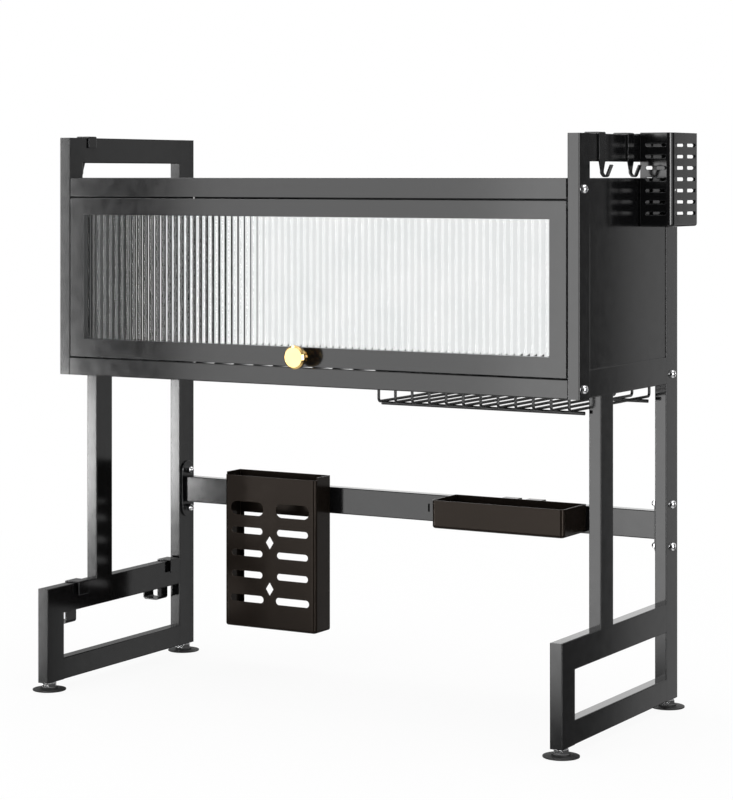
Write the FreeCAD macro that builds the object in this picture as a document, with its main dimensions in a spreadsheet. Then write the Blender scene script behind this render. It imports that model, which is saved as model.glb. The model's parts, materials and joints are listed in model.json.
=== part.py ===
import FreeCAD, Part
import math
import os
import Sketcher

Vector = FreeCAD.Vector

# Over-sink dish rack. Millimetres, +Z up. The pieces are drawn with X = 0 in the middle of the
# rack, Y = 0 on the front of the base and Z = 0 on the worktop, and each is then placed so that
# the origin is the bottom centre of the whole object.

SIZES = {
    # the frame as a whole
    "rack_width": 850,
    "rack_depth": 380,
    "rack_height": 812,
    # upright and base tubes, all of one section
    "tube_width": 18,
    "tube_depth": 40,
    "tube_wall": 1.2,
    "tube_corner": 1.5,
    "weld_fill": 1.2,
    # base
    "foot_height": 12,
    "base_top": 150,
    "base_lower_rail_height": 32,
    "base_upper_rail_height": 40,
    "upright_setback": 120,
    # cabinet
    "cabinet_setback": 53,
    "cabinet_bottom": 461,
    "post_depth": 33,
    "side_rail_height": 38,
    "guard_rail_height": 37.5,
    "guard_gap": 22,
    "cross_tube": 26,
    "panel_recess": 1.4,
    "sheet": 1.2,
    "shelf_lip": 27.5,
    "shelf_edge_radius": 1,
    "shelf_tab_rise": 2.5,
    "rear_lip_extra": 8,
    "side_gap": 1.5,
    "notch_gap": 0.5,
    # door
    "door_gap_top": 2.6,
    "door_gap_bottom": 1.5,
    "door_depth": 15.5,
    "door_stile": 24.6,
    "door_top_rail": 24.5,
    "door_bottom_rail": 27,
    "door_corner": 1,
    "glass_recess": 9.5,
    "gasket_thickness": 0.8,
    "glass_thickness": 4,
    "glass_overlap": 8,
    # hinge
    "hinge_inset": 6,
    "hinge_pin_radius": 3,
    "hinge_clearance": 0.05,
    "hinge_block_width": 13,
    "hinge_block_height": 14,
    "hinge_block_depth": 11.5,
    "bush_radius": 4.6,
    "bush_flange_radius": 5.7,
    "bush_flange": 1,
    "bush_length": 9,
    # knob
    "knob_radius": 16.5,
    "knob_thickness": 10,
    "knob_edge": 2.5,
    "knob_reach": 28,
    "knob_height": 14.5,
    "knob_neck_radius": 6,
    "knob_base_radius": 8,
    "knob_base_thickness": 3,
    "knob_screw_radius": 2,
    "knob_screw_depth": 12,
    "knob_screw_head_radius": 4,
    "knob_screw_head": 2.6,
    # magnet stops
    "magnet_width": 7,
    "magnet_depth": 12,
    "magnet_height": 24,
    "magnet_rise": 9,
    "magnet_gap": 0.3,
    # bolts and nuts
    "bolt_radius": 3,
    "bolt_clearance": 0.2,
    "bolt_length": 27,
    "bolt_head_radius": 6,
    "bolt_head_height": 5,
    "bolt_head_round": 4,
    "bolt_socket_radius": 2.3,
    "bolt_socket_depth": 2.5,
    "cap_nut_radius": 5.5,
    "cap_nut_height": 6,
    "cap_nut_dome": 4.5,
    "end_nut_length": 16,
    "clinch_nut_radius": 4.8,
    "clinch_nut_length": 7,
    "insert_clearance": 0.1,
    # rear cross bar
    "bar_height": 259,
    "bar_bolt_spacing": 60,
    "bar_plate_thickness": 2.5,
    "bar_plate_width": 32,
    "bar_plate_length": 88,
    "bar_slot_length": 12,
    "bar_slot_width": 3,
    "bar_slot_place": 35,
    # tube caps and feet
    "cap_thickness": 4,
    "foot_inset": 16,
    "foot_insert_height": 12,
    "stud_radius": 4,
    "stud_length": 30,
    "stud_clearance": 0.05,
    "stud_nut_radius": 11,
    "stud_nut": 6,
    "pad_radius": 24.5,
    "pad_edge": 1.6,
    "pad_boss_radius": 13,
    "pad_boss_foot": 2.6,
    "pad_height": 4.5,
    "pad_chamfer": 0.3,
    # plate rack and bowl rack
    "wire_radius": 2,
    "rod_radius": 2.5,
    "rack_gap": 0.3,
    "plate_pitch": 26.5,
    "plate_rack_end": 398.5,
    "plate_rack_drop": 18.4,
    "plate_rod_overhang": 8,
    "wire_bend": 5,
    "rod_inset": 27,
    "bowl_pitch": 33,
    "bowl_rack_end": 394,
    # hanging accessories
    "hang_gap": 0.3,
    "strap": 2,
    "holder_left": -300,
    "holder_width": 164,
    "holder_depth": 43.4,
    "holder_drop": 219,
    "holder_front_height": 233,
    "holder_back_rise": 4,
    "holder_corner": 6,
    "box_bend": 4,
    "holder_rim": 8,
    "holder_slot_inset": 41,
    "holder_big_slot": 21,
    "holder_slot": 10,
    "holder_low_slot": 11,
    "holder_slot_length": 56,
    "holder_long_slot_length": 60,
    "holder_diamond_width": 14,
    "holder_diamond_height": 21,
    "holder_row_1": 183,
    "holder_row_2": 149,
    "holder_row_3": 114.4,
    "holder_row_4": 81.8,
    "holder_row_5": 44.4,
    "holder_upper_diamond": 133,
    "holder_lower_diamond": 62,
    "hanger_width": 26,
    "hanger_drop": 14,
    "holder_hanger_inset": 24,
    "tray_left": 82,
    "tray_width": 213,
    "tray_depth": 75.7,
    "tray_drop": 38,
    "tray_height": 41,
    "tray_corner": 6,
    "tray_hanger_inset": 74,
    "tray_drain_length": 40,
    "tray_drain_width": 5,
    "tray_drain_spacing": 20,
    "basket_front": 248,
    "basket_length": 95.5,
    "basket_width": 46,
    "basket_drop": 127,
    "basket_height": 130,
    "basket_corner": 8,
    "basket_slot_height": 5,
    "basket_slot_length": 31,
    "basket_slot_spacing": 43,
    "basket_slot_pitch": 15.8,
    "basket_top_slot": 17,
    "basket_lip": 15,
    # utensil hooks
    "hook_width": 19.5,
    "hook_lip": 15,
    "hook_leg": 49,
    "hook_taper": 14,
    "tongue_width": 8.5,
    "tongue_reach": 7,
    "tongue_tip_reach": 15,
    "tongue_drop": 12,
    "tongue_shoulder": 4,
    "tongue_bend": 3.5,
    "tongue_rise": 7,
    "front_hook_place": 120,
    "rear_hook_place": 213,
    "left_hook_place": 107,
    # board hooks
    "board_hook_width": 25,
    "board_hook_standoff": 4,
    "board_hook_lip": 18,
    "board_hook_drop": 63,
    "board_hook_reach": 27,
    "board_hook_rise": 18,
    "board_hook_bend": 3,
    "front_board_hook_place": 81,
    "rear_board_hook_place": 320,
}

COUNTS = {
    "plate_wires": 12,
    "bowl_wires": 15,
    "basket_slot_rows": 7,
    "tray_drain_columns": 3,
}


class Length:
    """A size that carries both its number and the sheet formula that it comes from."""

    def __init__(self, value, formula):
        self.value = value
        self.formula = formula

    def combine(self, other, sign, result, swap=False):
        first, second = (other, self) if swap else (self, other)
        formulas = (as_length(first).formula, sign, as_length(second).formula)
        return Length(result, "({} {} {})".format(*formulas))

    def __add__(self, other):
        return self.combine(other, "+", self.value + as_length(other).value)

    def __radd__(self, other):
        return self.combine(other, "+", self.value + as_length(other).value, swap=True)

    def __sub__(self, other):
        return self.combine(other, "-", self.value - as_length(other).value)

    def __rsub__(self, other):
        return self.combine(other, "-", as_length(other).value - self.value, swap=True)

    def __mul__(self, other):
        return self.combine(other, "*", self.value * as_length(other).value)

    def __rmul__(self, other):
        return self.combine(other, "*", self.value * as_length(other).value, swap=True)

    def __truediv__(self, other):
        return self.combine(other, "/", self.value / as_length(other).value)

    def __neg__(self):
        return 0 - self


def as_length(item):
    return item if isinstance(item, Length) else Length(float(item), str(item))


def size(name):
    return Length(float(SIZES[name]), "Sizes." + name)


def count_of(name):
    return Length(COUNTS[name], "Sizes." + name)


doc = FreeCAD.newDocument("OverSinkDishRack")
sheet = doc.addObject("Spreadsheet::Sheet", "Sizes")
for row, (name, number) in enumerate({**SIZES, **COUNTS}.items(), start=1):
    sheet.set("A{}".format(row), str(number))
    sheet.setAlias("A{}".format(row), name)
doc.recompute()

# Levels and planes that several pieces share.
half = size("rack_width") / 2
tube_width = size("tube_width")
tube_depth = size("tube_depth")
tube_wall = size("tube_wall")
inner = half - tube_width
rear = size("rack_depth")
leg_front = rear - tube_depth
base_bottom = size("foot_height")
base_top = size("base_top")
base_rail_bottom = base_top - size("base_upper_rail_height")
cabinet_front = size("cabinet_setback")
cabinet_bottom = size("cabinet_bottom")
post_back = cabinet_front + size("post_depth")
top = size("rack_height")
guard_bottom = top - size("guard_rail_height")
shelf_top = guard_bottom - size("guard_gap")
sheet_metal = size("sheet")
shelf_under = shelf_top - sheet_metal
lip_bottom = shelf_top - size("shelf_lip")
cross_tube = size("cross_tube")
cross_front = cabinet_front + cross_tube / 2
cross_rear = rear - tube_depth / 2
cross_level = cabinet_bottom + cross_tube / 2
cross_top = cabinet_bottom + cross_tube
shelf_bolt_level = (shelf_under + lip_bottom) / 2
front_half = inner - size("side_gap")

# The two bolts of each bar plate, above and below the bar.
bar_height = size("bar_height")
bar_bolt_levels = [bar_height + side * size("bar_bolt_spacing") / 2 for side in (1, -1)]

# Where the object reaches furthest, for the origin.
basket_outer = half + size("hang_gap") + size("basket_width") + sheet_metal
board_outer = half + size("hang_gap") + size("strap") + size("board_hook_reach")
origin_x = (basket_outer - board_outer) / 2
origin_y = rear / 2

PLANES = {"x": "YZ_Plane", "y": "XZ_Plane", "z": "XY_Plane"}
SIDES = (("left", -1), ("right", 1))
nodes = []


def bind(item, prop, length):
    item.setExpression(prop, as_length(length).formula)


def finish(item, label):
    """Name a finished piece and place it about the object's origin."""
    item.Label = label
    bind(item, "Placement.Base.x", -origin_x)
    bind(item, "Placement.Base.y", -origin_y)
    nodes.append(item)
    return item


def new_body(label):
    body = doc.addObject("PartDesign::Body", label)
    body.AllowCompound = True
    finish(body, label)
    return body


def new_sketch(body, normal, offset):
    """A sketch square to the named axis of the body, offset along it."""
    sketch = body.newObject("Sketcher::SketchObject", body.Name + "_sketch")
    plane = [item for item in body.Origin.OriginFeatures if item.Role == PLANES[normal]][0]
    sketch.AttachmentSupport = [(plane, "")]
    sketch.MapMode = "FlatFace"
    bind(sketch, "AttachmentOffset.Base.z", -as_length(offset) if normal == "y" else offset)
    return sketch


def pin_point(sketch, geometry, end, across, up):
    """Fix a point of the sketch at a place given by two lengths."""
    for kind, length in (("DistanceX", across), ("DistanceY", up)):
        length = as_length(length)
        index = sketch.addConstraint(Sketcher.Constraint(kind, -1, 1, geometry, end, length.value))
        bind(sketch, "Constraints[{}]".format(index), length)


def draw_path(sketch, corners, closed=True):
    """Draw straight runs through corners (across, up, radius), rounded by tangent arcs."""
    points = [Vector(as_length(c[0]).value, as_length(c[1]).value, 0) for c in corners]
    radii = [as_length(c[2] if len(c) > 2 else 0) for c in corners]
    count = len(corners)
    starts, ends, arcs = list(points), list(points), {}
    for i in range(count):
        if radii[i].value <= 0 or (not closed and i in (0, count - 1)):
            continue
        before = (points[i - 1] - points[i]).normalize()
        after = (points[(i + 1) % count] - points[i]).normalize()
        radius = radii[i].value
        bend = before.getAngle(after)
        reach = radius / math.tan(bend / 2)
        starts[i] = points[i] + before * reach
        ends[i] = points[i] + after * reach
        centre = points[i] + (before + after).normalize() * (radius / math.sin(bend / 2))
        left_turn = before.cross(after).z < 0
        first, last = (starts[i], ends[i]) if left_turn else (ends[i], starts[i])
        circle = Part.Circle(centre, Vector(0, 0, 1), radius)
        arc = Part.ArcOfCircle(circle, angle_of(first - centre), angle_of(last - centre))
        arcs[i] = (arc, 1 if left_turn else 2)
    runs = count if closed else count - 1
    lines = [sketch.addGeometry(Part.LineSegment(ends[i], starts[(i + 1) % count])) for i in range(runs)]
    for i in range(count):
        incoming = lines[i - 1] if closed or i > 0 else None
        outgoing = lines[i] if closed or i < count - 1 else None
        if i not in arcs:
            if incoming is not None and outgoing is not None:
                sketch.addConstraint(Sketcher.Constraint("Coincident", incoming, 2, outgoing, 1))
            holder, end = (outgoing, 1) if outgoing is not None else (incoming, 2)
            pin_point(sketch, holder, end, corners[i][0], corners[i][1])
            continue
        arc, first_end = arcs[i]
        bend = sketch.addGeometry(arc)
        sketch.addConstraint(Sketcher.Constraint("Tangent", incoming, 2, bend, first_end))
        sketch.addConstraint(Sketcher.Constraint("Tangent", bend, 3 - first_end, outgoing, 1))
        radius = sketch.addConstraint(Sketcher.Constraint("Radius", bend, radii[i].value))
        bind(sketch, "Constraints[{}]".format(radius), radii[i])
        corner = sketch.addGeometry(Part.Point(points[i]), True)
        sketch.addConstraint(Sketcher.Constraint("PointOnObject", corner, 1, incoming))
        sketch.addConstraint(Sketcher.Constraint("PointOnObject", corner, 1, outgoing))
        pin_point(sketch, corner, 1, corners[i][0], corners[i][1])


def angle_of(vector):
    return math.atan2(vector.y, vector.x)


def draw_rectangle(sketch, left, right, low, high, corner=0):
    places = [(left, low), (right, low), (right, high), (left, high)]
    draw_path(sketch, [place + (corner,) for place in places])


def draw_circle(sketch, across, up, radius):
    place = Vector(as_length(across).value, as_length(up).value, 0)
    ring = sketch.addGeometry(Part.Circle(place, Vector(0, 0, 1), as_length(radius).value))
    pin_point(sketch, ring, 3, across, up)
    index = sketch.addConstraint(Sketcher.Constraint("Radius", ring, as_length(radius).value))
    bind(sketch, "Constraints[{}]".format(index), radius)


def draw_slot(sketch, left, right, level, height):
    """A slot with round ends, lying along the sketch's first axis."""
    radius = as_length(height) / 2
    first, last = as_length(left) + radius, as_length(right) - radius
    up, rise = as_length(level).value, radius.value
    bottom = Part.LineSegment(Vector(first.value, up - rise, 0), Vector(last.value, up - rise, 0))
    upper = Part.LineSegment(Vector(last.value, up + rise, 0), Vector(first.value, up + rise, 0))
    left_end = Part.Circle(Vector(first.value, up, 0), Vector(0, 0, 1), rise)
    right_end = Part.Circle(Vector(last.value, up, 0), Vector(0, 0, 1), rise)
    low = sketch.addGeometry(bottom)
    right_arc = sketch.addGeometry(Part.ArcOfCircle(right_end, -math.pi / 2, math.pi / 2))
    high = sketch.addGeometry(upper)
    left_arc = sketch.addGeometry(Part.ArcOfCircle(left_end, math.pi / 2, 3 * math.pi / 2))
    for one, two in ((low, right_arc), (right_arc, high), (high, left_arc), (left_arc, low)):
        sketch.addConstraint(Sketcher.Constraint("Tangent", one, 2, two, 1))
    pin_point(sketch, left_arc, 3, first, level)
    pin_point(sketch, right_arc, 3, last, level)
    index = sketch.addConstraint(Sketcher.Constraint("Radius", left_arc, rise))
    bind(sketch, "Constraints[{}]".format(index), radius)


def extrude(body, kind, sketch, length, normal, forward=True):
    """Pad or pocket a sketch towards the plus side of its axis, or towards the minus side."""
    feature = body.newObject("PartDesign::" + kind, body.Name + "_" + kind.lower())
    feature.Profile = sketch
    bind(feature, "Length", length)
    feature.Reversed = (forward == (normal == "y")) == (kind == "Pad")
    return feature


def block(body, left, right, front, back, low, high, kind="Pad", corner=0):
    """Add or cut a box, drawn from above."""
    sketch = new_sketch(body, "z", low)
    draw_rectangle(sketch, left, right, front, back, corner)
    return extrude(body, kind, sketch, as_length(high) - low, "z")


def span(side, near, far):
    """The two X planes of a thing that lies between near and far on one side."""
    return (near, far) if side > 0 else (-as_length(far), -as_length(near))


def tube(label, normal, across, up, start, end):
    """A hollow tube with rounded corners, drawn square to its run."""
    body = new_body(label)
    sketch = new_sketch(body, normal, start)
    corner = size("tube_corner")
    draw_rectangle(sketch, across[0], across[1], up[0], up[1], corner)
    inside = [across[0] + tube_wall, across[1] - tube_wall, up[0] + tube_wall, up[1] - tube_wall]
    draw_rectangle(sketch, inside[0], inside[1], inside[2], inside[3])
    extrude(body, "Pad", sketch, as_length(end) - start, normal)
    return body


def bolt_holes(body, places, start, depth, radius=None):
    """Round holes through a body along X, at (Y, Z) places."""
    sketch = new_sketch(body, "x", start)
    for place_y, place_z in places:
        draw_circle(sketch, place_y, place_z, radius or size("bolt_radius") + size("bolt_clearance"))
    extrude(body, "Pocket", sketch, depth, "x")


# Side frames
bar_bolts = [(cross_rear, level) for level in bar_bolt_levels]
cabinet_bolts = [(cross_front, cross_level), (cross_front, shelf_bolt_level)]
rear_bolts = [(cross_rear, cross_level), (cross_rear, shelf_bolt_level)]
hinge_y = cabinet_front + size("hinge_inset")
hinge_z = lip_bottom - size("door_gap_top") - size("hinge_inset")


def cope(body, normal, across, up, start, length):
    """Cut a tube's end to the outline of the tube that it is welded to."""
    sketch = new_sketch(body, normal, start)
    draw_rectangle(sketch, across[0], across[1], up[0], up[1], size("tube_corner"))
    extrude(body, "Pocket", sketch, length, normal)


def welded_rail(label, wide, high, front_tube, rear_tube):
    """A side rail welded between two upright tubes, each given by its front and back."""
    fill = size("weld_fill")
    rail = tube(label, "y", wide, high, front_tube[1] - fill, rear_tube[0] + fill)
    for upright in (front_tube, rear_tube):
        cope(rail, "z", wide, upright, high[0], high[1] - high[0])


def mitre(body, start, corners):
    """Cut a tube's end along a slant, seen from the side."""
    sketch = new_sketch(body, "x", start)
    draw_path(sketch, corners)
    extrude(body, "Pocket", sketch, tube_width, "x")


def side_frame(word, side):
    wide = span(side, inner, half)
    foot_span = (as_length(0), tube_depth)
    post_span = (cabinet_front, post_back)
    leg_span = (leg_front, rear)
    rear_leg = tube("rear_leg_" + word, "z", wide, leg_span, base_bottom, top)
    bolt_holes(rear_leg, bar_bolts + rear_bolts, wide[0], tube_width)
    low_rail = (base_bottom, base_bottom + size("base_lower_rail_height"))
    welded_rail("base_lower_rail_" + word, wide, low_rail, foot_span, leg_span)
    high_rail = (base_rail_bottom, base_top)
    fill = size("weld_fill")
    rail = tube("base_upper_rail_" + word, "y", wide, high_rail, 0, leg_front + fill)
    cope(rail, "z", wide, leg_span, base_rail_bottom, base_top - base_rail_bottom)
    mitre(rail, wide[0], [(0, base_top), (0, base_rail_bottom), (tube_depth, base_rail_bottom)])
    foot = tube("front_foot_tube_" + word, "z", wide, foot_span, base_bottom, base_top)
    mitre(foot, wide[0], [(0, base_top), (tube_depth, base_rail_bottom), (tube_depth, base_top)])
    rail_top = cabinet_bottom + size("side_rail_height")
    cabinet_rail = (cabinet_bottom, rail_top)
    setback = size("upright_setback")
    stand = (setback, setback + tube_depth)
    upright = tube("front_upright_" + word, "z", wide, stand, base_top - fill, cabinet_bottom + fill)
    for rail_span in (high_rail, cabinet_rail):
        cope(upright, "y", wide, rail_span, setback, tube_depth)
    post = tube("cabinet_post_" + word, "z", wide, post_span, cabinet_bottom, top)
    bolt_holes(post, cabinet_bolts, wide[0], tube_width)
    bush_hole = span(side, inner, inner + tube_wall)
    radius = size("bush_radius") + size("hinge_clearance")
    bolt_holes(post, [(hinge_y, hinge_z)], bush_hole[0], tube_wall, radius)
    welded_rail("cabinet_side_rail_" + word, wide, cabinet_rail, post_span, leg_span)
    welded_rail("guard_rail_" + word, wide, (guard_bottom, top), post_span, leg_span)
    outside = half - size("panel_recess")
    panel_span = span(side, outside - sheet_metal, outside)
    panel = new_body("side_panel_" + word)
    block(panel, panel_span[0], panel_span[1], post_back, leg_front, rail_top, shelf_under)


# Cabinet
def shelf_panel():
    """Pressed roof sheet: a plate with a front lip, a deeper rear lip and bolted end tabs."""
    body = new_body("shelf_panel")
    notch = size("notch_gap")
    wing = half - size("panel_recess")
    outline = []
    for side, order in ((1, 1), (-1, -1)):
        edge = [
            (side * front_half, cabinet_front),
            (side * front_half, post_back + notch),
            (side * wing, post_back + notch),
            (side * wing, leg_front - notch),
            (side * front_half, leg_front - notch),
            (side * front_half, rear),
        ]
        outline += edge[::order]
    sketch = new_sketch(body, "z", shelf_under)
    draw_path(sketch, outline)
    extrude(body, "Pad", sketch, sheet_metal, "z")
    front_wall = cabinet_front + sheet_metal
    rear_wall = rear - sheet_metal
    lips = new_sketch(body, "z", lip_bottom)
    draw_rectangle(lips, -front_half, front_half, cabinet_front, front_wall)
    extrude(body, "Pad", lips, shelf_under - lip_bottom, "z")
    rear_lip_bottom = lip_bottom - size("rear_lip_extra")
    block(body, -front_half, front_half, rear_wall, rear, rear_lip_bottom, shelf_under)
    tab_bottom = lip_bottom + size("shelf_tab_rise")
    tabs = new_sketch(body, "z", tab_bottom)
    for word, side in SIDES:
        tab_span = span(side, front_half - sheet_metal, front_half)
        draw_rectangle(tabs, tab_span[0], tab_span[1], front_wall, post_back - notch)
        draw_rectangle(tabs, tab_span[0], tab_span[1], leg_front + notch, rear_wall)
    extrude(body, "Pad", tabs, shelf_under - tab_bottom, "z")
    places = [(cross_front, shelf_bolt_level), (cross_rear, shelf_bolt_level)]
    bolt_holes(body, places, -front_half, 2 * front_half)
    doc.recompute()
    pressed = body.Tip
    edges = edges_along_x(pressed, cabinet_front.value, shelf_top.value)
    bend = body.newObject("PartDesign::Fillet", "shelf_bend")
    bend.Base = (pressed, edges)
    bind(bend, "Radius", size("shelf_edge_radius"))


def edges_along_x(feature, y, z):
    """Names of the straight edges that run along X at a place in Y and Z."""
    found = []
    for number, edge in enumerate(feature.Shape.Edges, start=1):
        ends = [vertex.Point for vertex in edge.Vertexes]
        if all(abs(end.y - y) + abs(end.z - z) < 0.01 for end in ends):
            found.append("Edge{}".format(number))
    return found


def cross_members():
    for word, middle in (("front", cross_front), ("rear", cross_rear)):
        deep = (middle - cross_tube / 2, middle + cross_tube / 2)
        tube(word + "_lower_rail", "x", deep, (cabinet_bottom, cross_top), -inner, inner)
    plate = size("bar_plate_thickness")
    deep = (cross_rear - tube_width / 2, cross_rear + tube_width / 2)
    high = (bar_height - tube_depth / 2, bar_height + tube_depth / 2)
    bar = tube("rear_cross_bar", "x", deep, high, plate - inner, inner - plate)
    slot = new_sketch(bar, "y", deep[0])
    place = size("bar_slot_place")
    low = bar_height - size("bar_slot_length") / 2
    draw_rectangle(slot, place, place + size("bar_slot_width"), low, low + size("bar_slot_length"))
    extrude(bar, "Pocket", slot, tube_wall, "y")
    for word, side in SIDES:
        body = new_body("bar_end_plate_" + word)
        width = span(side, inner - plate, inner)
        sketch = new_sketch(body, "x", width[0])
        radius = size("bar_plate_width") / 2
        reach = size("bar_plate_length") / 2 - radius
        draw_upright_slot(sketch, cross_rear, bar_height - reach, bar_height + reach, radius)
        extrude(body, "Pad", sketch, plate, "x")
        bolt_holes(body, bar_bolts, width[0], plate)


def draw_upright_slot(sketch, across, low, high, radius):
    """A plate with round ends, standing along the sketch's second axis."""
    middle, lower, upper, reach = across.value, low.value, high.value, radius.value
    near, far = middle - reach, middle + reach
    ring_low = Part.Circle(Vector(middle, lower, 0), Vector(0, 0, 1), reach)
    ring_high = Part.Circle(Vector(middle, upper, 0), Vector(0, 0, 1), reach)
    right = sketch.addGeometry(Part.LineSegment(Vector(far, lower, 0), Vector(far, upper, 0)))
    head = sketch.addGeometry(Part.ArcOfCircle(ring_high, 0, math.pi))
    left = sketch.addGeometry(Part.LineSegment(Vector(near, upper, 0), Vector(near, lower, 0)))
    tail = sketch.addGeometry(Part.ArcOfCircle(ring_low, math.pi, 2 * math.pi))
    for one, two in ((right, head), (head, left), (left, tail), (tail, right)):
        sketch.addConstraint(Sketcher.Constraint("Tangent", one, 2, two, 1))
    pin_point(sketch, head, 3, across, high)
    pin_point(sketch, tail, 3, across, low)
    index = sketch.addConstraint(Sketcher.Constraint("Radius", tail, reach))
    bind(sketch, "Constraints[{}]".format(index), radius)


# Fasteners, each a set of like solids
def place_at(item, x, y, z, axis=None, angle=0):
    """Bind an object's place and turn it about one axis."""
    if axis is not None:
        item.Placement = FreeCAD.Placement(Vector(0, 0, 0), FreeCAD.Rotation(axis, angle))
    bind(item, "Placement.Base.x", x)
    bind(item, "Placement.Base.y", y)
    bind(item, "Placement.Base.z", z)
    return item


def rod(name, radius, length, x, y, z, axis=None, angle=0):
    item = doc.addObject("Part::Cylinder", name)
    bind(item, "Radius", radius)
    bind(item, "Height", length)
    return place_at(item, x, y, z, axis, angle)


def brick(name, left, right, front, back, low, high):
    item = doc.addObject("Part::Box", name)
    bind(item, "Length", as_length(right) - left)
    bind(item, "Width", as_length(back) - front)
    bind(item, "Height", as_length(high) - low)
    return place_at(item, left, front, low)


def cut(name, base, tool):
    item = doc.addObject("Part::Cut", name)
    item.Base = base
    item.Tool = tool
    return item


def fuse(name, pieces):
    item = doc.addObject("Part::MultiFuse", name)
    item.Shapes = pieces
    return item


def group(label, pieces):
    """One node made of separate like solids."""
    item = doc.addObject("Part::Compound", label)
    item.Links = pieces
    return finish(item, label)


def profile(name, corners):
    """A free sketch of half a turned piece: across is the radius, up is the height."""
    sketch = doc.addObject("Sketcher::SketchObject", name)
    draw_path(sketch, corners)
    return sketch


def turned(name, sketch, x, y, z, axis=None, angle=0):
    """Turn a profile sketch about its upright axis and stand it at a place."""
    item = doc.addObject("Part::Revolution", name)
    item.Source = sketch
    item.Axis = (0, 1, 0)
    item.Angle = 360
    item.Solid = True
    holder = doc.addObject("Part::Compound", name + "_placed")
    holder.Links = [item]
    return place_at(holder, x, y, z, axis, angle)


def bolts_and_nuts():
    shank = size("bolt_radius")
    head = size("bolt_head_radius")
    dome = size("bolt_head_height")
    bolt_profile = profile("bolt_profile", [
        (0, -size("bolt_length")),
        (shank, -size("bolt_length")),
        (shank, 0),
        (head, 0),
        (head, dome, size("bolt_head_round")),
        (0, dome),
    ])
    bolts = []
    nuts = []
    clinch_nuts = []
    end_nuts = []
    for word, side in SIDES:
        outward = Vector(0, 0, -side)
        for place_y, place_z in bar_bolts + cabinet_bolts + rear_bolts:
            name = "bolt_{}_{}".format(word, len(bolts))
            blank = turned(name, bolt_profile, side * half, place_y, place_z, outward, 90)
            bolts.append(cut(name + "_cut", blank, bolt_socket(name + "_socket", side, place_y, place_z)))
        for place_y, place_z in bar_bolts:
            face = side * (inner - size("bar_plate_thickness"))
            nuts.append(cap_nut("cap_nut_{}_{}".format(word, len(nuts)), side, face, place_y, place_z))
        for place_y in (cross_front, cross_rear):
            name = "clinch_nut_{}_{}".format(word, len(clinch_nuts))
            clinch_nuts.append(clinch_nut(name, side, place_y))
            end_nuts.append(end_nut("end_nut_{}_{}".format(word, len(end_nuts)), side, place_y))
    group("frame_bolts", bolts)
    group("cap_nuts", nuts)
    group("shelf_clinch_nuts", clinch_nuts)
    group("rail_end_nuts", end_nuts)


def bolt_socket(name, side, y, z):
    """The hexagonal recess in a bolt's head."""
    socket = doc.addObject("Part::Prism", name)
    socket.Polygon = 6
    bind(socket, "Circumradius", size("bolt_socket_radius"))
    bind(socket, "Height", size("bolt_socket_depth"))
    face = half + size("bolt_head_height")
    low = face - size("bolt_socket_depth") if side > 0 else -face
    return place_at(socket, low, y, z, Vector(0, 1, 0), 90)


def along_x(name, radius, near, far, side, y, z):
    """A cylinder lying along X between two distances from the middle."""
    low, high = span(side, near, far)
    return rod(name, radius, as_length(high) - low, low, y, z, Vector(0, 1, 0), 90)


def cap_nut(name, side, face, y, z):
    """A six-sided nut with a domed end that points to the middle of the rack."""
    nut = doc.addObject("Part::Prism", name + "_hexagon")
    nut.Polygon = 6
    bind(nut, "Circumradius", size("cap_nut_radius"))
    bind(nut, "Height", size("cap_nut_height"))
    low = face - size("cap_nut_height") if side > 0 else face
    place_at(nut, low, y, z, Vector(0, 1, 0), 90)
    dome = doc.addObject("Part::Sphere", name + "_dome")
    bind(dome, "Radius", size("cap_nut_dome"))
    place_at(dome, face - side * size("cap_nut_height"), y, z)
    depth = size("bolt_length") - tube_width - size("bar_plate_thickness")
    near = inner - size("bar_plate_thickness") - depth
    hole = along_x(name + "_thread", size("bolt_radius"), near, inner, side, y, z)
    return cut(name, fuse(name + "_body", [nut, dome]), hole)


def clinch_nut(name, side, y):
    far = front_half - sheet_metal
    near = far - size("clinch_nut_length")
    outer = along_x(name + "_barrel", size("clinch_nut_radius"), near, far, side, y, shelf_bolt_level)
    hole = along_x(name + "_thread", size("bolt_radius"), near, far, side, y, shelf_bolt_level)
    return cut(name, outer, hole)


def end_nut(name, side, y):
    reach = cross_tube / 2 - tube_wall - size("insert_clearance")
    low, high = span(side, inner - size("end_nut_length"), inner)
    body = brick(name + "_block", low, high, y - reach, y + reach, cross_level - reach, cross_level + reach)
    near = inner - size("end_nut_length")
    hole = along_x(name + "_thread", size("bolt_radius"), near, inner, side, y, cross_level)
    return cut(name, body, hole)


def tube_ends():
    """Caps in the open tube tops and threaded inserts in the tube bottoms."""
    fit = tube_wall + size("insert_clearance")
    caps = []
    inserts = []
    for word, side in SIDES:
        low, high = span(side, inner + fit, half - fit)
        for place, front, back in (("front", cabinet_front, post_back), ("rear", leg_front, rear)):
            name = "cap_{}_{}".format(place, word)
            caps.append(brick(name, low, high, front + fit, back - fit, top - size("cap_thickness"), top))
        for place, front, foot_y in FEET:
            name = "insert_{}_{}".format(place, word)
            insert_top = base_bottom + size("foot_insert_height")
            body = brick(name, low, high, front + fit, front + tube_depth - fit, base_bottom, insert_top)
            radius = size("stud_radius") + size("stud_clearance")
            x = side * (half - tube_width / 2)
            hole = rod(name + "_thread", radius, size("foot_insert_height"), x, foot_y, base_bottom)
            inserts.append(cut(name + "_bored", body, hole))
    group("tube_end_caps", caps)
    group("foot_inserts", inserts)


FEET = (("front", as_length(0), size("foot_inset")), ("rear", leg_front, rear - size("foot_inset")))


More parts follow.
